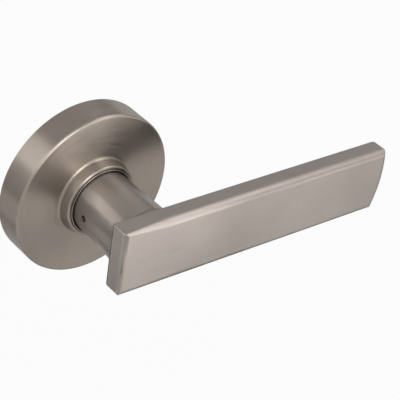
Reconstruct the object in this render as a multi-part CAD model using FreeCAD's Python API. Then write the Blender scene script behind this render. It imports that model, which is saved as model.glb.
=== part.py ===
import FreeCAD, Part
import math
import os

os.makedirs("parts", exist_ok=True)
V = FreeCAD.Vector

# Door lever handle: the inside half of a round-rose lever set, the half that takes the screws.
#
# Frame: the door's face is the plane y = 0 and the room lies towards -y. The spindle turns about
# the y axis, the lever points along +x, and z is up. A "reach" is a distance from the door's face
# into the room, so a negative reach lies inside the door. A "clock" angle turns from +x to +z.

# ---------------------------------------------------------------- driving dimensions, mm
# Turning parts on the spindle axis
tube_radius = 8.5
tube_wall = 1.7
tube_flat = 7.7              # axis to the flats that drive the lever and the drive plate
tube_behind_door = 3.6       # tube that stands behind the plate
tube_past_catch = 7.7
slip_gap = 0.05              # a part that slides over the one inside it
turn_gap = 0.05              # radial, a shaft in its bush
end_gap = 0.2                # axial, between turning faces

# Retaining rings and the washer behind the plate
ring_thickness = 0.7
ring_bite = 0.6              # depth of a ring's groove
ring_height = 2.1            # ring above the tube
ring_opening = 60.0          # degrees
washer_thickness = 0.9
washer_height = 3.5

# Return spring and the tabs between its legs
spring_wire = 1.2
spring_turn_gap = 0.15
spring_whole_turns = 2
spring_gap = 0.15
spring_ring_gap = 1.2
spring_weld_slack = 1e-5      # lets coil, bends and legs close into one wire
tab_width = 4.4
tab_thickness = 2.2
tab_gap = 1.3
anchor_thickness = 3.7
anchor_gap = 1.8
anchor_stem_radius = 1.4

# Drive plate and its stops
drive_plate_thickness = 1.5
drive_plate_rim = 0.5        # plate outside the spring's coils
stop_arm_width = 6.0
stop_arm_radius = 21.0
stop_circle_radius = 19.0
stop_pin_radius = 1.5
stop_pin_height = 3.5
lever_turn = 50.0            # degrees either way from level
stop_gap = 0.3

# Mounting plate, hub bush and the holes for the screws through the door
plate_thickness = 2.5
bush_wall = 1.5
bush_flange = 0.6
bush_flange_height = 2.0
screw_spacing = 38.1
screw_hole_radius = 2.75
screw_head_radius = 4.2
screw_head_gap = 0.5

# Spring cage and its rivets
cage_wall = 1.0
cage_screw_gap = 1.35
cage_corner_round = 1.2
cage_flange_width = 4.4
rivet_radius = 1.5
rivet_head_radius = 2.0
rivet_head_height = 0.9
rivet_count = 4

# Rose, its snap ring and the collar
plate_margin = 1.0           # plate outside the cage's flange
rose_plate_gap = 1.0
rose_wall = 1.0
rose_rim_round = 0.95
rose_face_rise = 0.1
rose_cage_gap = 0.15
collar_height = 4.75
collar_wall = 1.1
collar_taper = 0.8
collar_foot_round = 1.0
collar_edge_round = 0.8
snap_ring_thickness = 1.2
snap_ring_bite = 0.75
snap_ring_opening = 20.0     # degrees
sleeve_wall = 0.5
sleeve_gap = 0.15
sleeve_proud = 0.3
sleeve_flange = 0.8
sleeve_flange_height = 3.5
sleeve_edge_round = 0.15

# Centring ring in the door's cross bore
bore_ring_radius = 26.8
bore_ring_wall = 1.8
bore_ring_depth = 4.0
bore_ring_chamfer = 0.8
bore_peg_radius = 0.75
bore_peg_length = 2.0

# Lever: neck and blade
neck_radius = 12.35
neck_gap = 0.5
neck_inset = 5.5
neck_floor = 0.5             # space past the tube's end in the lever's bore
flare_length = 24.2
flare_left = 14.2            # neck's half width at the blade, on its blunt side
flare_half_height = 13.0
flare_squareness = 0.2
root_round = 1.8             # hollow corner where the neck meets the blade's back
root_height = 13.45
lever_projection = 52.2
blade_thickness = 8.0
neck_root = 2.5              # neck that runs on into the blade
blade_half_height = 13.6
blade_tip = 110.8            # spindle axis to the far end
blade_tip_bulge = 2.0
blade_tip_lean = 0.95        # top edge's reach past the bottom edge's
blade_heel = 17.1            # spindle axis to the near end
blade_heel_bulge = 0.1
blade_heel_lean = 1.15
blade_front_round = 2.5      # along the top and bottom
blade_crisp_round = 0.8      # top edge at the near end, before it softens
blade_crisp_length = 20.0
blade_tip_round = 2.0
blade_heel_round = 1.6
blade_corner_round = 1.7      # in front view, at both ends of the bottom edge
blade_back_round = 1.2
blade_top_back_round = 0.5

# Adapter for the latch's square spindle, and its cross pin
spindle_side = 8.0
adapter_setback = 1.1
adapter_length = 19.0
adapter_pin_setback = 3.0
socket_end_wall = 1.0
cross_pin_radius = 1.5
cross_pin_setback = 0.2

# Spring catch that holds the lever on the tube
catch_past_collar = 6.1
catch_nose_radius = 1.9
catch_nose_proud = 1.6
catch_nose_round = 0.5
catch_base_radius = 2.9
catch_base_thickness = 1.2
catch_seat_gap = 0.15
catch_pilot_radius = 1.3
catch_pilot_length = 1.0
catch_hole_gap = 0.1
catch_pocket_gap = 0.2
catch_pocket_depth = 2.0
release_hole_radius = 1.3
catch_spring_wire = 0.5
catch_spring_radius = 1.7
catch_spring_turns = 7
catch_spring_gap = 0.05

# ---------------------------------------------------------------- sizes that follow
tube_bore = tube_radius - tube_wall
plate_face = plate_thickness
bush_face = plate_face + bush_flange
drive_plate_back = bush_face + end_gap
drive_plate_face = drive_plate_back + drive_plate_thickness
ring_radius = tube_radius + ring_height
groove_radius = tube_radius - ring_bite

leg_offset = tab_width / 2 + spring_wire / 2 + slip_gap
coil_radius = ring_radius + spring_ring_gap + spring_wire / 2
leg_clock = math.degrees(math.acos(leg_offset / coil_radius))
spring_pitch = spring_wire + spring_turn_gap
spring_turns = spring_whole_turns - (180.0 - 2 * leg_clock) / 360.0
spring_rise = spring_turns * spring_pitch
spring_foot = drive_plate_face + spring_gap + spring_wire / 2
coil_outer = coil_radius + spring_wire / 2
tab_inner = coil_outer + tab_gap
tab_outer = tab_inner + tab_thickness
anchor_inner = tab_outer + anchor_gap
anchor_outer = anchor_inner + anchor_thickness

cage_ceiling = spring_foot + spring_rise + spring_wire / 2 + spring_gap
cage_face = cage_ceiling + cage_wall
cage_inner = screw_spacing / 2 + screw_head_radius + cage_screw_gap
cage_outer = cage_inner + cage_wall
cage_flange_radius = cage_outer + cage_flange_width
rivet_circle = (cage_outer + cage_flange_radius) / 2

plate_radius = cage_flange_radius + plate_margin
rose_inner = plate_radius + rose_plate_gap
rose_radius = rose_inner + rose_wall
rim_reach = cage_face + sleeve_flange + rose_cage_gap + rose_wall
face_reach = rim_reach + rose_face_rise
collar_reach = face_reach + collar_height

sleeve_inner = neck_radius + neck_gap
sleeve_outer = sleeve_inner + sleeve_wall
sleeve_reach = collar_reach + sleeve_proud
collar_bore = sleeve_outer + sleeve_gap
collar_top_radius = collar_bore + collar_wall
collar_foot_radius = collar_top_radius + collar_taper

neck_end = collar_reach - neck_inset
catch_reach = collar_reach + catch_past_collar
tube_end = catch_reach + tube_past_catch
blade_back = lever_projection - blade_thickness
flare_start = blade_back - flare_length

adapter_start = -tube_behind_door + adapter_setback
adapter_end = adapter_start + adapter_length
cross_pin_reach = adapter_end - adapter_pin_setback
socket_end = cross_pin_reach - cross_pin_radius - socket_end_wall

catch_seat = math.sqrt(tube_bore ** 2 - catch_base_radius ** 2) - catch_seat_gap


# ---------------------------------------------------------------- shape helpers
def disc(radius, near, far, x=0.0, z=0.0):
    """Round bar parallel to the spindle axis, between two reaches."""
    return Part.makeCylinder(radius, far - near, V(x, -near, z), V(0, -1, 0))


def tube(inner, outer, near, far):
    return disc(outer, near, far).cut(disc(inner, near - 1, far + 1))


def block(x_low, x_high, near, far, z_low, z_high):
    """Square-cornered block between two reaches."""
    size = (x_high - x_low, far - near, z_high - z_low)
    return Part.makeBox(*size, V(x_low, -far, z_low))


def turned(*outline):
    """Solid turned round the spindle axis from an outline of (radius, reach) corners."""
    corners = [V(radius, -reach, 0) for radius, reach in outline]
    return Part.Face(Part.makePolygon(corners + corners[:1])).revolve(V(0, 0, 0), V(0, 1, 0), 360)


def at_clock(shape, degrees):
    """Copy of a shape that was made at clock 0, carried round to another clock angle."""
    copy = shape.copy()
    copy.rotate(V(0, 0, 0), V(0, -1, 0), degrees)
    return copy


def round_rims(shape, radius, *rims):
    """Fillet the circular edges that lie at the given (radius, reach) rims."""
    def on_rim(edge, rim):
        curve = edge.Curve
        return (isinstance(curve, Part.Circle) and abs(curve.Radius - rim[0]) < 1e-4
                and abs(-curve.Center.y - rim[1]) < 1e-4)
    return shape.makeFillet(radius, [e for e in shape.Edges if any(on_rim(e, rim) for rim in rims)])


def open_wedge(opening, radius, near, far, clock):
    """Wedge that cuts the opening out of a split ring."""
    half = math.radians(opening / 2)
    corners = [V(0, -near, 0)]
    for side in (-half, half):
        corners.append(V(radius * math.cos(side), -near, radius * math.sin(side)))
    wedge = Part.Face(Part.makePolygon(corners + corners[:1])).extrude(V(0, near - far, 0))
    return at_clock(wedge, clock)


def flatted(radius, flat, near, far):
    """Round bar with two flats, above and below the axis."""
    return disc(radius, near, far).common(block(-radius, radius, near, far, -flat, flat))


def retaining_ring(near, clock):
    """Split ring that sits in a groove of the drive tube."""
    far = near + ring_thickness
    ring = tube(groove_radius + slip_gap, ring_radius, near, far)
    return ring.cut(open_wedge(ring_opening, 2 * ring_radius, near - 1, far + 1, clock))


def coil(wire, radius, pitch, turns):
    """Coil of round wire about +Z that starts at (radius, 0, 0)."""
    path = Part.Wire(Part.makeHelix(pitch, pitch * turns, radius))
    section = Part.Wire(Part.makeCircle(wire / 2, V(radius, 0, 0), V(0, 1, 0)))
    return path.makePipeShell([section], True, True)


def joined(shape, *others):
    return shape.multiFuse(list(others)).removeSplitter()


def save(name, *solids):
    """Write one node: a single solid, or a group of separate like solids."""
    shape = solids[0] if len(solids) == 1 else Part.Compound(list(solids))
    if not shape.isValid() or len(shape.Solids) != len(solids):
        raise ValueError(name + " is not made of whole solids")
    shape.exportStep("parts/" + name + ".step")


# ---------------------------------------------------------------- fixed to the door
def rose_cover():
    """Drawn rose: straight rim, nearly flat face and a raised collar, all one thin wall."""
    body = turned((0, 0), (rose_radius, 0), (rose_radius, rim_reach),
                  (collar_foot_radius, face_reach), (collar_top_radius, collar_reach),
                  (0, collar_reach))
    body = round_rims(body, rose_rim_round, (rose_radius, rim_reach))
    body = round_rims(body, collar_foot_round, (collar_foot_radius, face_reach))
    body = round_rims(body, collar_edge_round, (collar_top_radius, collar_reach))
    inside = turned((0, -1), (rose_inner, -1), (rose_inner, rim_reach - rose_wall),
                    (collar_foot_radius - rose_wall, face_reach - rose_wall),
                    (collar_bore, collar_reach + 1), (0, collar_reach + 1))
    return body.cut(inside)


def neck_sleeve():
    """Turned ring that the lever's neck runs in, with a flange on the cage's face."""
    sleeve = tube(sleeve_inner, sleeve_outer, cage_ceiling + slip_gap, sleeve_reach)
    sleeve = round_rims(sleeve, sleeve_edge_round, (sleeve_outer, sleeve_reach),
                        (sleeve_inner, sleeve_reach))
    flange = tube(sleeve_inner, sleeve_outer + sleeve_flange_height, cage_face,
                  cage_face + sleeve_flange)
    return joined(sleeve, flange)


def rivet_clocks():
    return [45.0 + 360.0 * i / rivet_count for i in range(rivet_count)]


def stop_clocks():
    """Clock angles of the two pins that the stop arm meets at the ends of its turn."""
    reach_round = (stop_arm_width / 2 + stop_pin_radius + stop_gap) / stop_circle_radius
    off = lever_turn + math.degrees(math.asin(reach_round))
    return 270.0 - off, 270.0 + off


def mounting_plate():
    """Round plate on the door, drilled for all that it carries, grooved for the snap ring."""
    plate = disc(plate_radius, 0, plate_thickness)
    low, high = snap_ring_reaches()
    groove = tube(plate_radius - snap_ring_bite - slip_gap, plate_radius + 1,
                  low - slip_gap, high + slip_gap)
    holes = [disc(tube_radius + turn_gap + bush_wall, -1, plate_thickness + 1)]
    for side in (-1, 1):
        holes.append(disc(screw_hole_radius, -1, plate_thickness + 1, side * screw_spacing / 2))
    for clock in rivet_clocks():
        holes.append(at_clock(disc(rivet_radius, -1, plate_thickness + 1, rivet_circle), clock))
    for clock in stop_clocks():
        pin = disc(stop_pin_radius, -1, plate_thickness + 1, stop_circle_radius)
        holes.append(at_clock(pin, clock))
    stem = (anchor_inner + anchor_outer) / 2
    holes.append(disc(anchor_stem_radius, -1, plate_thickness + 1, 0, stem))
    for side in (-1, 1):
        holes.append(bore_peg(side, -1))
    return plate.cut([groove] + holes)


def snap_ring_reaches():
    middle = plate_thickness / 2
    return middle - snap_ring_thickness / 2, middle + snap_ring_thickness / 2


def rose_snap_ring():
    """Split ring in the plate's rim that the rose pushes over."""
    low, high = snap_ring_reaches()
    ring = tube(plate_radius - snap_ring_bite, rose_inner - slip_gap, low, high)
    return ring.cut(open_wedge(snap_ring_opening, 2 * rose_radius, low - 1, high + 1, 270))


def bore_peg(side, near):
    """One of the two pegs that hold the centring ring to the plate."""
    height = side * (bore_ring_radius - bore_ring_wall / 2)
    return disc(bore_peg_radius, near, bore_peg_length, 0, height)


def centring_ring():
    """Nylon ring behind the plate that fits the door's cross bore."""
    inner = bore_ring_radius - bore_ring_wall
    ring = turned((inner, 0), (bore_ring_radius, 0),
                  (bore_ring_radius, bore_ring_chamfer - bore_ring_depth),
                  (bore_ring_radius - bore_ring_chamfer, -bore_ring_depth),
                  (inner, -bore_ring_depth))
    return joined(ring, bore_peg(-1, -0.5), bore_peg(1, -0.5))


def hub_bush():
    """Flanged nylon bush in the plate that the drive tube turns in."""
    inner = tube_radius + turn_gap
    return joined(tube(inner, inner + bush_wall, 0, plate_face),
                  tube(inner, inner + bush_wall + bush_flange_height, plate_face, bush_face))


def spring_cage():
    """Pressed cup over the return spring, riveted to the plate, with a way in for each screw."""
    cup = disc(cage_outer, plate_face, cage_face)
    cup = round_rims(cup, cage_corner_round, (cage_outer, cage_face))
    cup = joined(cup, disc(cage_flange_radius, plate_face, plate_face + cage_wall))
    cup = cup.cut(disc(cage_inner, plate_face - 1, cage_ceiling))
    cup = cup.cut(disc(sleeve_outer + slip_gap, cage_ceiling - 1, cage_face + 1))
    holes = []
    for clock in rivet_clocks():
        hole = disc(rivet_radius, plate_face - 1, plate_face + cage_wall + 1, rivet_circle)
        holes.append(at_clock(hole, clock))
    for side in (-1, 1):
        holes.append(disc(screw_head_radius + screw_head_gap, cage_ceiling - 1, cage_face + 1,
                          side * screw_spacing / 2))
    return cup.cut(holes)


def cage_rivets():
    """Round-headed rivets through the cage's flange and the plate."""
    seat = plate_face + cage_wall
    shank = disc(rivet_radius, 0, seat, rivet_circle)
    head = disc(rivet_head_radius, seat, seat + rivet_head_height, rivet_circle)
    head = round_rims(head, rivet_head_height * 0.8, (rivet_head_radius, seat + rivet_head_height))
    return [at_clock(joined(shank, head), clock) for clock in rivet_clocks()]


def spring_anchor():
    """Fixed tab between the spring's legs, with a stem in the plate."""
    stem = disc(anchor_stem_radius, 0, plate_face + 1, 0, (anchor_inner + anchor_outer) / 2)
    top = cage_ceiling - spring_gap
    tab = block(-tab_width / 2, tab_width / 2, plate_face, top, anchor_inner, anchor_outer)
    return joined(stem, tab)


def stop_pins():
    pin = disc(stop_pin_radius, 0, plate_face + stop_pin_height, stop_circle_radius)
    return [at_clock(pin, clock) for clock in stop_clocks()]


def return_spring():
    """Torsion spring: two coils, with straight legs either side of the fixed and moving tabs."""
    wire = coil(spring_wire, coil_radius, spring_pitch, spring_turns)
    wire.rotate(V(0, 0, 0), V(1, 0, 0), 90)
    wire = at_clock(wire, 180.0 - leg_clock)
    wire.translate(V(0, -spring_foot, 0))
    start_height = coil_radius * math.sin(math.radians(leg_clock))
    pieces = []
    for x, reach in ((-leg_offset, spring_foot), (leg_offset, spring_foot + spring_rise)):
        knee = V(x, -reach, start_height)
        pieces.append(Part.makeSphere(spring_wire / 2, knee))
        pieces.append(Part.makeCylinder(spring_wire / 2, anchor_outer - start_height, knee, V(0, 0, 1)))
    return wire.multiFuse(pieces, spring_weld_slack).removeSplitter()


# ---------------------------------------------------------------- turns with the lever
def drive_plate():
    """Cam on the tube's flats: a bent-up tab for the spring and an arm for the stops."""
    near, far = drive_plate_back, drive_plate_face
    plate = joined(disc(coil_outer + drive_plate_rim, near, far),
                   block(-tab_width / 2, tab_width / 2, near, far, 0, tab_outer),
                   block(-tab_width / 2, tab_width / 2, near, cage_ceiling - spring_gap,
                         tab_inner, tab_outer),
                   block(-stop_arm_width / 2, stop_arm_width / 2, near, far, -stop_arm_radius, 0))
    return plate.cut(flatted(tube_radius + slip_gap, tube_flat + slip_gap, near - 1, far + 1))


def drive_tube():
    """Steel tube from behind the plate into the lever, flatted from the drive plate outwards."""
    body = joined(disc(tube_radius, -tube_behind_door, drive_plate_back),
                  flatted(tube_radius, tube_flat, drive_plate_back, tube_end))
    body = body.cut(disc(tube_bore, -tube_behind_door - 1, tube_end + 1))
    for near in (drive_ring_near(), tube_ring_near()):
        body = body.cut(tube(groove_radius, tube_radius + 1, near, near + ring_thickness))
    catch_hole = Part.makeCylinder(catch_nose_radius + catch_hole_gap, tube_radius + 1,
                                   V(0, -catch_reach, 0), V(-1, 0, 0))
    return body.cut([catch_hole, cross_bar(tube_radius + 1)])


def drive_ring_near():
    return drive_plate_face + slip_gap


def tube_ring_near():
    return -washer_thickness - end_gap - ring_thickness


def tube_washer():
    """Washer between the plate's back and the ring that holds the tube in."""
    inner = tube_radius + slip_gap
    near = -washer_thickness - end_gap / 2
    return tube(inner, tube_radius + washer_height, near, near + washer_thickness)


def spindle_adapter():
    """Plug in the tube with a blind square socket for the latch's spindle."""
    side = spindle_side / 2 + slip_gap
    body = disc(tube_bore - slip_gap, adapter_start, adapter_end)
    body = body.cut(block(-side, side, adapter_start - 1, socket_end, -side, side))
    return body.cut(cross_bar(tube_radius + 1))


def adapter_pin():
    """Pin through the tube and the adapter; the lever's bore keeps it in."""
    return cross_bar(tube_radius - cross_pin_setback)


def cross_bar(half):
    """Round bar of the cross pin's size, square to the tube."""
    return Part.makeCylinder(cross_pin_radius, 2 * half, V(-half, -cross_pin_reach, 0), V(1, 0, 0))


def neck_section(reach, spread=0.0):
    """Closed curve round the neck: a circle that squares up and widens towards the blade."""
    share = min(1.0, max(0.0, (reach - flare_start) / flare_length)) ** 1.5
    left = neck_radius + (flare_left - neck_radius) * share + spread
    right = neck_radius + spread
    height = min(neck_radius + (flare_half_height - neck_radius) * share + spread, root_height)
    power = 2.0 / (2.0 + flare_squareness * share)
    points = []
    for step in range(32):
        angle = 2 * math.pi * step / 32
        across, up = math.cos(angle), math.sin(angle)
        if across < 0:
            across = -abs(across) ** power
            up = math.copysign(abs(up) ** power, up)
        points.append(V((right if across > 0 else left) * across, -reach, height * up))
    curve = Part.BSplineCurve()
    curve.interpolate(points, PeriodicFlag=True)
    return Part.Wire(curve.toShape())


def neck():
    """Round neck that flares into the back of the blade, with a hollow corner there."""
    hollow_start = blade_back - root_round
    reaches = [neck_end, (neck_end + flare_start) / 2]
    reaches += [flare_start + (hollow_start - flare_start) * i / 5 for i in range(6)]
    shaft = Part.makeLoft([neck_section(reach) for reach in reaches], True, False)
    sections = []
    for step in range(6):
        turn = math.radians(15.0 * step)
        reach = hollow_start + root_round * math.sin(turn)
        sections.append(neck_section(reach, root_round * (1 - math.cos(turn))))
    hollow = Part.makeLoft(sections, True, False)
    last = -sections[-1].BoundBox.YMin
    root = Part.Face(sections[-1]).extrude(V(0, last - blade_back - neck_root, 0))
    return joined(shaft, hollow, root)


def blade_outline():
    """Front view of the blade: straight top and bottom, bowed ends that lean outwards."""
    high = blade_half_height
    heel_top = V(-blade_heel - blade_heel_lean / 2, 0, high)
    heel_mid = V(-blade_heel - blade_heel_bulge, 0, 0)
    heel_low = V(-blade_heel + blade_heel_lean / 2, 0, -high)
    tip_low = V(blade_tip - blade_tip_bulge - blade_tip_lean / 2, 0, -high)
    tip_mid = V(blade_tip, 0, 0)
    tip_top = V(blade_tip - blade_tip_bulge + blade_tip_lean / 2, 0, high)
    edges = [Part.Arc(heel_top, heel_mid, heel_low).toShape(),
             Part.LineSegment(heel_low, tip_low).toShape(),
             Part.Arc(tip_low, tip_mid, tip_top).toShape(),
             Part.LineSegment(tip_top, heel_top).toShape()]
    return Part.Face(Part.Wire(edges))


def top_edge_tool():
    """What rounds the blade's top front edge, more softly away from the near end."""
    crisp_end = blade_crisp_length - blade_heel
    sections = []
    for x, radius in ((-2 * blade_heel, blade_crisp_round), (-blade_heel, blade_crisp_round),
                      (crisp_end, blade_front_round), (2 * blade_tip, blade_front_round)):
        high, front = blade_half_height, -lever_projection
        over = blade_front_round
        turn = radius * (1 - math.sqrt(0.5))
        arc = Part.Arc(V(x, front, high - radius), V(x, front + turn, high - turn),
                       V(x, front + radius, high))
        corners = [V(x, front + radius, high), V(x, front + radius, high + over),
                   V(x, front - over, high + over), V(x, front - over, high - radius),
                   V(x, front, high - radius)]
        sections.append(Part.Wire([arc.toShape()] + Part.makePolygon(corners).Edges))
    return Part.makeLoft(sections, True, True)


def blade():
    """Flat blade with soft edges all round its front and smaller ones round its back."""
    sharp = blade_outline().extrude(V(0, -blade_thickness, 0))
    sharp.translate(V(0, -blade_back, 0))

    def long_at(box, x_low, x_high):
        return x_low < box.XMin and box.XMax < x_high and box.ZLength > blade_half_height

    def rounded(shape, radius, reach, test):
        edges = [e for e in shape.Edges if e.BoundBox.YLength < 1e-6
                 and abs(e.BoundBox.YMin + reach) < 1e-4 and test(e.BoundBox)]
        return shape.makeFillet(radius, edges)

    corners = [e for e in sharp.Edges if e.BoundBox.YLength > blade_thickness / 2
               and e.BoundBox.ZMax < 0]
    ends = rounded(sharp, blade_heel_round, lever_projection,
                   lambda box: long_at(box, -2 * blade_heel, 0))
    ends = rounded(ends, blade_tip_round, lever_projection,
                   lambda box: long_at(box, 0, 2 * blade_tip))
    slab = sharp.makeFillet(blade_corner_round, corners).cut(sharp.cut(ends))
    slab = rounded(slab, blade_back_round, blade_back,
                   lambda box: box.XLength > blade_tip and box.ZMax < 0)
    slab = rounded(slab, blade_top_back_round, blade_back,
                   lambda box: box.XLength > blade_tip and box.ZMin > 0)
    bar = block(-2 * blade_heel, 2 * blade_tip, blade_back - 1, lever_projection,
                -blade_half_height, blade_half_height)
    bar = rounded(bar, blade_front_round, lever_projection,
                  lambda box: box.XLength > blade_tip and box.ZMax < 0)
    return slab.common(bar).cut(top_edge_tool())


def lever():
    """One casting: blade and neck, bored for the drive tube, with the catch's pocket and hole."""
    body = joined(blade(), neck())
    bore = flatted(tube_radius + slip_gap, tube_flat + slip_gap, neck_end - 1, tube_end + neck_floor)
    pocket = Part.makeCylinder(catch_nose_radius + catch_pocket_gap,
                               tube_radius + catch_pocket_depth, V(0, -catch_reach, 0), V(-1, 0, 0))
    hole = Part.makeCylinder(release_hole_radius, 2 * neck_radius, V(0, -catch_reach, 0), V(-1, 0, 0))
    return body.cut([bore, pocket, hole])


# ---------------------------------------------------------------- the spring catch
def lever_catch():
    """Turned plunger: base in the tube, nose through the tube's wall into the neck's pocket."""
    tip = -(tube_radius + catch_nose_proud)

    def along(radius, x_low, x_high):
        return Part.makeCylinder(radius, x_high - x_low, V(x_low, -catch_reach, 0), V(1, 0, 0))

    nose = along(catch_nose_radius, tip, -catch_seat)
    rim = [e for e in nose.Edges if isinstance(e.Curve, Part.Circle)
           and abs(e.Curve.Center.x - tip) < 1e-6]
    nose = nose.makeFillet(catch_nose_round, rim)
    inner_face = -catch_seat + catch_base_thickness
    return joined(nose, along(catch_base_radius, -catch_seat, inner_face),
                  along(catch_pilot_radius, inner_face, inner_face + catch_pilot_length))


def catch_spring():
    """Coil between the catch's base and the far wall of the tube."""
    widest = catch_spring_radius + catch_spring_wire / 2
    low = -catch_seat + catch_base_thickness + catch_spring_gap + catch_spring_wire / 2
    high = math.sqrt(tube_bore ** 2 - widest ** 2) - catch_spring_gap - catch_spring_wire / 2
    pitch = (high - low) / catch_spring_turns
    wire = coil(catch_spring_wire, catch_spring_radius, pitch, catch_spring_turns)
    wire.rotate(V(0, 0, 0), V(0, 1, 0), 90)
    wire.translate(V(low, -catch_reach, 0))
    return wire


save("rose_cover", rose_cover())
save("neck_sleeve", neck_sleeve())
save("mounting_plate", mounting_plate())
save("rose_snap_ring", rose_snap_ring())
save("centring_ring", centring_ring())
save("hub_bush", hub_bush())
save("spring_cage", spring_cage())
save("cage_rivets", *cage_rivets())
save("spring_anchor", spring_anchor())
save("stop_pins", *stop_pins())
save("return_spring", return_spring())
save("drive_plate", drive_plate())
save("drive_plate_ring", retaining_ring(drive_ring_near(), 90))
save("drive_tube", drive_tube())
save("tube_washer", tube_washer())
save("tube_retaining_ring", retaining_ring(tube_ring_near(), 90))
save("spindle_adapter", spindle_adapter())
save("adapter_pin", adapter_pin())
save("lever", lever())
save("lever_catch", lever_catch())
save("catch_spring", catch_spring())
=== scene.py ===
import bpy
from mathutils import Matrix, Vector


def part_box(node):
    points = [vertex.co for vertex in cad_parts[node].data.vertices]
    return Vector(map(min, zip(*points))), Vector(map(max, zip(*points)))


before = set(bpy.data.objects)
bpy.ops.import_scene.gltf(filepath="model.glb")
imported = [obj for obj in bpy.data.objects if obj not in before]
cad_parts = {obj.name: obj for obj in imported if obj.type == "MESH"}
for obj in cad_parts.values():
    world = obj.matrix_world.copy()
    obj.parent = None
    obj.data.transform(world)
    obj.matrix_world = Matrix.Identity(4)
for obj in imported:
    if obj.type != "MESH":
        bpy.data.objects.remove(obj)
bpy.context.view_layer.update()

metre = 1000  # millimetres, in which the finishes' sizes are given
noise_low, noise_high = 0.3, 0.7  # nearly all of a noise lies between these


def linear(hex_colour):
    """An sRGB hex colour as the linear RGBA that sockets take."""
    channels = [int(hex_colour[i:i + 2], 16) / 255 for i in (1, 3, 5)]
    return [c / 12.92 if c <= 0.04045 else ((c + 0.055) / 1.055) ** 2.4 for c in channels] + [1.0]


def add_node(tree, kind, settings=None, **sockets):
    """Adds a node with its own settings, and gives each socket a value or a (node, output) link.

    A socket goes by its name, or by _ and its number where the name isn't enough.
    """
    node = tree.nodes.new(kind)
    for name, value in (settings or {}).items():
        setattr(node, name, value)
    for name, value in sockets.items():
        socket = node.inputs[int(name[1:]) if name[0] == "_" else name.replace("_", " ")]
        if isinstance(value, tuple) and hasattr(value[0], "outputs"):
            source, output = value
            tree.links.new(source.outputs[output], socket)
        else:
            socket.default_value = value
    return node


def bare_material(name):
    """A new material with nothing in its node tree."""
    material = bpy.data.materials.new(name)
    material.use_nodes = True
    material.node_tree.nodes.clear()
    return material


def dress(node_name, material):
    """Puts a finish on a carried-over piece, in place of its plain one."""
    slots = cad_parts[node_name].data.materials
    slots.clear()
    slots.append(material)


def patches(tree, size_mm, least=0.35, most=0.65):
    """A cloudy mask from 0 to 1, with clouds about size_mm across."""
    place = add_node(tree, "ShaderNodeTexCoord")
    cloud = add_node(tree, "ShaderNodeTexNoise", Vector=(place, "Object"),
                     Scale=metre / size_mm, Detail=3.0, Roughness=0.6)
    return add_node(tree, "ShaderNodeMapRange", Value=(cloud, 0), From_Min=least, From_Max=most)


def zinc_plate(name, bright, cloudy, smoothest, roughest, cloud_mm):
    """Bright zinc on steel, cloudier and duller where the passivation ran thick."""
    material = bare_material(name)
    tree = material.node_tree
    cloud = patches(tree, cloud_mm)
    colour = add_node(tree, "ShaderNodeMix", {"data_type": "RGBA"}, Factor=(cloud, 0),
                      _6=linear(bright), _7=linear(cloudy))
    gloss = add_node(tree, "ShaderNodeMapRange", Value=(cloud, 0), To_Min=smoothest,
                     To_Max=roughest)
    # Plated sheet keeps a mill texture of about 0.1 mm, drawn at 0.5 mm so that it shows.
    mill_mm, mill_depth_mm = 0.5, 0.02
    mill = patches(tree, mill_mm, noise_low, noise_high)
    dents = add_node(tree, "ShaderNodeBump", Strength=0.2, Distance=mill_depth_mm / metre,
                     Height=(mill, 0))
    shader = add_node(tree, "ShaderNodeBsdfPrincipled", Metallic=1.0, Base_Color=(colour, 2),
                      Roughness=(gloss, 0), Normal=(dents, 0))
    add_node(tree, "ShaderNodeOutputMaterial", Surface=(shader, 0))
    return material


# Zinc with a clear blue passivation: a cool silver, soft in gloss, with a faint cloudy bloom.
pressed_zinc = zinc_plate("bright zinc on pressed steel", "#B4B9BE", "#9EA2A2", 0.30, 0.44, 5.0)
dress("mounting_plate", pressed_zinc)

# ------------------------------------------------------------ hub bush
# A thin sleeve with a flange on its room side, injection moulded in black nylon 66. It is pressed
# into the plate's middle hole, so that the steel tube turns in plastic and not in the plate.


def moulded_nylon(name, colour, scuffed, smoothest, roughest, flow_mm):
    """Filled nylon from a spark-eroded mould: near black, with a dull fine-grained skin."""
    material = bare_material(name)
    tree = material.node_tree
    # The mould's spark texture is about 0.1 mm, drawn at 0.6 mm so that it shows.
    skin_mm, skin_depth_mm = 0.6, 0.03
    skin = patches(tree, skin_mm)
    flow = patches(tree, flow_mm)
    shade = add_node(tree, "ShaderNodeMix", {"data_type": "RGBA"}, Factor=(flow, 0),
                     _6=linear(colour), _7=linear(scuffed))
    gloss = add_node(tree, "ShaderNodeMapRange", Value=(flow, 0), To_Min=smoothest,
                     To_Max=roughest)
    grain = add_node(tree, "ShaderNodeBump", Strength=0.35, Distance=skin_depth_mm / metre,
                     Height=(skin, 0))
    shader = add_node(tree, "ShaderNodeBsdfPrincipled", Base_Color=(shade, 2), IOR=1.53,
                      Roughness=(gloss, 0), Normal=(grain, 0))
    add_node(tree, "ShaderNodeOutputMaterial", Surface=(shader, 0))
    return material


# Black nylon: a soft satin black that greys a little where the flow lines ran.
black_nylon = moulded_nylon("black nylon, moulded", "#1A1B1D", "#26272A", 0.42, 0.56, 9.0)
dress("hub_bush", black_nylon)

# ------------------------------------------------------------ stop pins
# Two short straight pins cut from free-cutting bar, plated and pressed into the plate. The drive
# plate's arm comes up against one or the other at each end of the lever's travel.

# Turned stock plates brighter than sheet and shows hardly any cloud.
turned_zinc = zinc_plate("bright zinc on turned steel", "#BEC2C6", "#B0B4B6", 0.22, 0.32, 2.0)
dress("stop_pins", turned_zinc)

# ------------------------------------------------------------ spring anchor
# A small block of steel on a round stem, plated like the plate and staked into it. It stands
# between the return spring's legs and holds whichever leg the drive plate's tab isn't pushing.
dress("spring_anchor", pressed_zinc)

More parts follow.
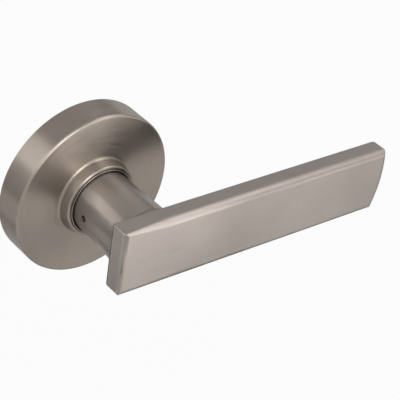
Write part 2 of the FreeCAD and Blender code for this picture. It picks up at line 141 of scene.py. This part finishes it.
# ------------------------------------------------------------ return spring
# Nearly two turns of 1.2 mm hard-drawn spring wire round the tube, with straight legs either side
# of the fixed tab and the moving one. It is wound from oiled wire and never plated.


def turned_lines(tree, spacing_mm, sweep):
    """A mask of fine lines that run round the spindle's axis, each a fraction of a turn long."""
    place = add_node(tree, "ShaderNodeTexCoord")
    part = add_node(tree, "ShaderNodeSeparateXYZ", Vector=(place, "Object"))
    across = add_node(tree, "ShaderNodeCombineXYZ", X=(part, 0), Z=(part, 2))
    radius = add_node(tree, "ShaderNodeVectorMath", {"operation": "LENGTH"}, _0=(across, 0))
    heading = add_node(tree, "ShaderNodeVectorMath", {"operation": "NORMALIZE"}, _0=(across, 0))
    turn = add_node(tree, "ShaderNodeSeparateXYZ", Vector=(heading, 0))
    wide = add_node(tree, "ShaderNodeMath", {"operation": "MULTIPLY"}, _0=(radius, 1),
                    _1=metre / spacing_mm)
    deep = add_node(tree, "ShaderNodeMath", {"operation": "MULTIPLY"}, _0=(part, 1),
                    _1=metre / spacing_mm)
    round_x = add_node(tree, "ShaderNodeMath", {"operation": "MULTIPLY"}, _0=(turn, 0), _1=sweep)
    round_z = add_node(tree, "ShaderNodeMath", {"operation": "MULTIPLY"}, _0=(turn, 2), _1=sweep)
    where = add_node(tree, "ShaderNodeCombineXYZ", X=(wide, 0), Y=(deep, 0), Z=(round_x, 0))
    return add_node(tree, "ShaderNodeTexNoise", {"noise_dimensions": "4D"}, Vector=(where, 0),
                    W=(round_z, 0), Scale=1.0, Detail=2.0, Roughness=0.6)


def spring_steel(name, dark, light, smoothest, roughest):
    """Hard steel left bare under oil: dark, with die lines along the wire."""
    material = bare_material(name)
    tree = material.node_tree
    # Drawing dies leave lines about 0.03 mm apart, drawn at 0.3 mm so that they show.
    line_gap_mm, line_sweep, film_mm = 0.3, 3.0, 3.0
    lines = turned_lines(tree, line_gap_mm, line_sweep)
    film = patches(tree, film_mm)
    colour = add_node(tree, "ShaderNodeMix", {"data_type": "RGBA"}, Factor=(film, 0),
                      _6=linear(dark), _7=linear(light))
    gloss = add_node(tree, "ShaderNodeMapRange", Value=(lines, 0), From_Min=noise_low,
                     From_Max=noise_high, To_Min=smoothest, To_Max=roughest)
    shader = add_node(tree, "ShaderNodeBsdfPrincipled", Metallic=1.0, Base_Color=(colour, 2),
                      Roughness=(gloss, 0))
    add_node(tree, "ShaderNodeOutputMaterial", Surface=(shader, 0))
    return material


# Oiled spring wire: a dark blue-grey with a wet, uneven shine.
spring_wire = spring_steel("oiled spring wire", "#5A5C61", "#6E6C69", 0.22, 0.40)
dress("return_spring", spring_wire)

# ------------------------------------------------------------ spring cage
# A drawn steel cup over the spring, with a flat rim that is riveted down to the plate and two
# holes that let the through bolts' heads pass. It is plated like the plate.
dress("spring_cage", pressed_zinc)

# ------------------------------------------------------------ cage rivets
# Four cold-headed steel rivets, plated before they are set. They clench the cage's rim down to
# the plate, so that the cage holds the spring in.
dress("cage_rivets", turned_zinc)

# ------------------------------------------------------------ centring ring
# A chamfered ring moulded in black nylon, held behind the plate by two small pegs. It drops into
# the door's cross bore and brings the whole half on centre before the bolts are drawn tight.
dress("centring_ring", black_nylon)

# ------------------------------------------------------------ drive plate
# A cam blanked from 1.5 mm steel with a flatted hole for the tube, an arm for the stops and a
# tab folded up between the spring's legs. It is case hardened, so its zinc looks greyer.

# Hardened parts come out of the bath a shade darker and duller.
hard_zinc = zinc_plate("zinc on hardened steel", "#A2A6A8", "#8D9090", 0.34, 0.48, 4.0)
dress("drive_plate", hard_zinc)

# ------------------------------------------------------------ drive tube
# A steel tube with two flats along its room end, a groove for each ring and cross holes for the
# catch and the pin, plated inside and out. It carries the lever and turns the spindle's adapter.
dress("drive_tube", turned_zinc)

# ------------------------------------------------------------ drive plate ring, tube ring
# Open retaining rings blanked from spring steel strip and snapped into the tube's grooves: one
# holds the drive plate up to its shoulder, the other keeps the tube from being pulled out.

# Phosphated and oiled strip: a flat charcoal with a brown cast.
phosphated_strip = spring_steel("phosphated spring strip", "#47464A", "#57524C", 0.38, 0.55)
dress("drive_plate_ring", phosphated_strip)
dress("tube_retaining_ring", phosphated_strip)

# ------------------------------------------------------------ tube washer
# A plain zinc-plated washer between the plate's back and the tube's ring, which takes the wear
# each time the lever turns.
dress("tube_washer", pressed_zinc)

# ------------------------------------------------------------ spindle adapter and its pin
# A steel plug broached square for the latch's spindle, held in the tube by one hard cross pin
# driven through both. The plug is plated; the pin is ground and left bright.
dress("spindle_adapter", turned_zinc)

# Ground and hardened pin: bare steel, clean and a little warm, with a sharp shine.
ground_steel = spring_steel("ground hardened steel", "#96948F", "#A3A19B", 0.16, 0.26)
dress("adapter_pin", ground_steel)

# ------------------------------------------------------------ neck sleeve
# A short flanged collar turned from brass, satin brushed on the lathe and nickel plated. It stands
# in the rose's mouth on the cage, and the lever's neck turns inside it with a fine dark gap.


def satin_nickel(name, light, deep, smoothest, roughest, stretch, blade_back=None):
    """Brushed nickel with its grain round the spindle, and along the blade past blade_back.

    The shader stretches its shine across the tangent that it is given, so the grain's own
    direction is turned by a quarter.
    """
    material = bare_material(name)
    tree = material.node_tree
    place = add_node(tree, "ShaderNodeTexCoord")
    quarter_turn = 0.25
    # The scratches are about 0.08 mm apart, drawn at 0.4 mm so that they show.
    scratch_gap_mm, scratch_depth_mm, scratch_sweep, stroke_mm = 0.4, 0.018, 2.5, 12.0
    lines = turned_lines(tree, scratch_gap_mm, scratch_sweep)
    grain = add_node(tree, "ShaderNodeVectorMath", {"operation": "CROSS_PRODUCT"},
                     _0=(place, "Object"), _1=(0.0, 1.0, 0.0))
    grain, lines = (grain, 0), (lines, 0)
    if blade_back is not None:
        part = add_node(tree, "ShaderNodeSeparateXYZ", Vector=(place, "Object"))
        blade = add_node(tree, "ShaderNodeMath", {"operation": "LESS_THAN"}, _0=(part, 1),
                         _1=-blade_back)
        squeeze = add_node(tree, "ShaderNodeMapping", Vector=(place, "Object"),
                           Scale=(metre / stroke_mm, metre / scratch_gap_mm,
                                  metre / scratch_gap_mm))
        strokes = add_node(tree, "ShaderNodeTexNoise", Vector=(squeeze, 0), Scale=1.0, Detail=2.0,
                           Roughness=0.6)
        picked = add_node(tree, "ShaderNodeMix", {"data_type": "FLOAT"}, Factor=(blade, 0),
                          _2=lines, _3=(strokes, 0))
        along = add_node(tree, "ShaderNodeMix", {"data_type": "VECTOR"}, Factor=(blade, 0),
                         _4=grain, _5=(1.0, 0.0, 0.0))
        grain, lines = (along, 1), (picked, 0)
    way = add_node(tree, "ShaderNodeVectorTransform",
                   {"vector_type": "VECTOR", "convert_from": "OBJECT", "convert_to": "WORLD"},
                   Vector=grain)
    gloss = add_node(tree, "ShaderNodeMapRange", Value=lines, From_Min=noise_low,
                     From_Max=noise_high, To_Min=smoothest, To_Max=roughest)
    scratches = add_node(tree, "ShaderNodeBump", Strength=0.5,
                         Distance=scratch_depth_mm / metre, Height=lines)
    bloom_mm = 14.0
    tone = patches(tree, bloom_mm)
    colour = add_node(tree, "ShaderNodeMix", {"data_type": "RGBA"}, Factor=(tone, 0),
                      _6=linear(light), _7=linear(deep))
    shader = add_node(tree, "ShaderNodeBsdfPrincipled", Metallic=1.0, Base_Color=(colour, 2),
                      Roughness=(gloss, 0), Anisotropic=stretch,
                      Anisotropic_Rotation=quarter_turn, Tangent=(way, 0), Normal=(scratches, 0))
    add_node(tree, "ShaderNodeOutputMaterial", Surface=(shader, 0))
    return material


# Satin nickel off the lathe: a warm grey whose shine fans out across the turned grain.
turned_nickel = satin_nickel("satin nickel, turned", "#968C83", "#928980", 0.30, 0.42, 0.85)
dress("neck_sleeve", turned_nickel)

# ------------------------------------------------------------ rose snap ring
# A split ring of square spring wire in a groove on the plate's edge. The rose is pushed over it
# and it springs out behind the rose's wall, so that no screw shows.
dress("rose_snap_ring", phosphated_strip)

# ------------------------------------------------------------ rose cover
# The round cover that hides the works, drawn from 1 mm brass sheet with a raised mouth round the
# neck. It is brushed on the lathe, so its grain runs in circles, then nickel plated.
dress("rose_cover", turned_nickel)

# ------------------------------------------------------------ lever catch and its spring
# A small plunger turned and hardened, with a coil of 0.5 mm wire behind it inside the tube. Its
# nose stands in the lever's pocket, and a pin pushed through the neck's small hole frees it.
dress("catch_spring", spring_wire)
dress("lever_catch", ground_steel)

# ------------------------------------------------------------ lever
# Neck and blade are one zinc casting, ground smooth, belt brushed round the neck and along the
# blade, and nickel plated. Its front edges are softened, the top one more than the rest.

blade_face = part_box("lever")[0][1]
blade_depth = 0.0081  # the 8 mm blade and a hair more, so that its back is brushed along too

# Belt-brushed nickel: the rose's grey, a touch cooler, with a grain that only just shows.
brushed_nickel = satin_nickel("satin nickel, brushed", "#948C86", "#918983", 0.30, 0.42, 0.8,
                              -blade_face - blade_depth)
dress("lever", brushed_nickel)

# ------------------------------------------------------------ studio
# A pale paper floor a metre down, as under a door handle, white surroundings, soft lamps, and
# grey cards that the camera can't see but that give the metal something darker to mirror.
import math
from mathutils import Matrix, Vector

bpy.context.scene.view_settings.view_transform = "Standard"
white_room = bpy.data.worlds.new("white room")
bpy.context.scene.world = white_room
white_room.use_nodes = True
white_room.node_tree.nodes.clear()


def mirrored_or_seen(tree):
    """1 for what the camera sees, straight or by reflection or through glass, else 0."""
    ray = add_node(tree, "ShaderNodeLightPath")
    direct = add_node(tree, "ShaderNodeMath", {"operation": "MAXIMUM"},
                      _0=(ray, "Is Camera Ray"), _1=(ray, "Is Glossy Ray"))
    return add_node(tree, "ShaderNodeMath", {"operation": "MAXIMUM"},
                    _0=(direct, 0), _1=(ray, "Is Transmission Ray"))


# The room looks white, and it gives no more light than a mid grey room would.
sky = white_room.node_tree
tone = add_node(sky, "ShaderNodeMix", {"data_type": "RGBA"}, Factor=(mirrored_or_seen(sky), 0),
                _6=linear("#A8A7A5"), _7=linear("#FFFFFF"))
glow = add_node(sky, "ShaderNodeBackground", Color=(tone, 2), Strength=1.0)
add_node(sky, "ShaderNodeOutputWorld", Surface=(glow, 0))

floor_drop, floor_width = 1.0, 14.0
bpy.ops.object.select_all(action="DESELECT")
bpy.ops.mesh.primitive_plane_add(size=floor_width, location=(0, 0, -floor_drop))
floor = bpy.context.object
floor.name = "floor"
# Pale paper: nearly white wherever it is seen, with just enough of its own tone for a shadow.
pale_paper = bare_material("pale studio paper")
sheet_nodes = pale_paper.node_tree
paper = add_node(sheet_nodes, "ShaderNodeBsdfDiffuse", Color=linear("#EDECEA"))
lit = add_node(sheet_nodes, "ShaderNodeEmission", Color=linear("#FFFFFF"), Strength=1.0)
whiteness = 0.96
share = add_node(sheet_nodes, "ShaderNodeMath", {"operation": "MULTIPLY"},
                 _0=(mirrored_or_seen(sheet_nodes), 0), _1=whiteness)
blend = add_node(sheet_nodes, "ShaderNodeMixShader", Fac=(share, 0), _1=(paper, 0), _2=(lit, 0))
add_node(sheet_nodes, "ShaderNodeOutputMaterial", Surface=(blend, 0))
floor.data.materials.append(pale_paper)


def facing(centre, aim):
    """The placing of a flat lamp or card at centre whose front looks at aim."""
    away = Vector(centre) - Vector(aim)
    return Matrix.Translation(centre) @ away.to_track_quat("Z", "Y").to_matrix().to_4x4()


def softbox(name, centre, aim, width, height, brightness):
    """A soft lamp; at brightness 1 it is as bright as white paper."""
    lamp = bpy.data.lights.new(name, "AREA")
    lamp.shape = "RECTANGLE"
    lamp.size, lamp.size_y = width, height
    lamp.energy = brightness * math.pi * width * height
    holder = bpy.data.objects.new(name, lamp)
    bpy.context.scene.collection.objects.link(holder)
    holder.matrix_world = facing(centre, aim)


def grey_card(name, centre, aim, width, height, level):
    """A flat card of an even grey, which only a reflection shows."""
    grey = bare_material(name)
    even = add_node(grey.node_tree, "ShaderNodeEmission", Color=(level, level, level, 1.0),
                    Strength=1.0)
    add_node(grey.node_tree, "ShaderNodeOutputMaterial", Surface=(even, 0))
    bpy.ops.object.select_all(action="DESELECT")
    bpy.ops.mesh.primitive_plane_add(size=1.0)
    card = bpy.context.object
    card.name = name
    card.data.transform(facing(centre, aim) @ Matrix.Diagonal((width, height, 1.0, 1.0)))
    card.data.materials.append(grey)
    card.visible_camera = False


# The blade mirrors what stands along this line from its face, so its lamps are placed by it.
mirror_line = Vector((0.594, -0.588, -0.548))
near, far = 0.2, 0.6
set_middle, rose_middle = Vector((0.03, -0.03, 0.0)), (0, 0, 0)


def before_blade(x, z):
    """A point close before the blade's plane, on the mirror line from x, z, and that spot."""
    spot = Vector((x, blade_face, z))
    return spot + near * mirror_line, spot


def around(direction):
    """A point farther out from the set's middle, and that middle."""
    return set_middle + Vector(direction).normalized() * far, set_middle


near_width = 0.085
for name, x, z, brightness in (("heel softbox, top", -0.05, 0.18, 2.20),
                               ("heel softbox, high", -0.05, 0.10, 2.00),
                               ("heel softbox, low", -0.05, 0.02, 0.75),
                               ("blade softbox", 0.02, 0.10, 0.65),
                               ("tip softbox, high", 0.09, 0.10, 1.10),
                               ("tip softbox, low", 0.09, -0.06, 0.65)):
    softbox(name, *before_blade(x, z), near_width, near_width, brightness)

wide, narrow = 0.34, 0.22
for name, direction, width, brightness in (
        ("front softbox", (-0.13, -0.97, 0.22), wide, 3.20),
        ("high front softbox", (-0.20, -0.80, 0.56), wide, 3.20),
        ("upper left softbox", (-0.79, 0.32, 0.53), wide, 2.80),
        ("upper right softbox", (0.58, -0.37, 0.72), wide, 1.30),
        ("top softbox", (0.45, -0.12, 0.89), narrow, 1.35),
        ("low left softbox", (-0.68, 0.54, -0.50), narrow, 0.95)):
    softbox(name, *around(direction), width, width, brightness)

for name, centre, width, height, level in (
        ("top card", (-0.15, 0.1, 0.85), 1.1, 1.1, 0.81),
        ("right card", (0.9, 0, 0.05), 1.1, 1.1, 0.77),
        ("low right card", (0.68, 0.1, -0.66), 0.8, 0.7, 0.03),
        ("high back card", (0, 0.85, 0.42), 2.2, 0.75, 0.19),
        ("low back card", (0, 0.85, -0.42), 2.2, 0.9, 0.12),
        ("bottom card", (0, -0.1, -0.9), 0.9, 0.5, 0.48)):
    grey_card(name, centre, rose_middle, width, height, level)
for name, x, z, level in (("under heel card", -0.05, -0.06, 0.68),
                          ("under blade card", 0.02, -0.06, 0.03)):
    grey_card(name, *before_blade(x, z), near_width, near_width, level)

# The camera stands about half a metre off, left of the rose and above it, with a long lens.
camera = bpy.data.objects.new("camera", bpy.data.cameras.new("camera"))
bpy.context.scene.collection.objects.link(camera)
camera.data.sensor_width = 36.0
camera.data.lens = 136.4
camera_place = (-0.29842, -0.36096, 0.30685)
camera_right = Vector((0.7662, -0.6213, 0.1641))
camera_up = Vector((0.2442, 0.5177, 0.8200))
camera_back = camera_right.cross(camera_up).normalized()
stand = Matrix((camera_right, camera_up, camera_back)).transposed().to_4x4()
camera.matrix_world = Matrix.Translation(camera_place) @ stand
bpy.context.scene.camera = camera
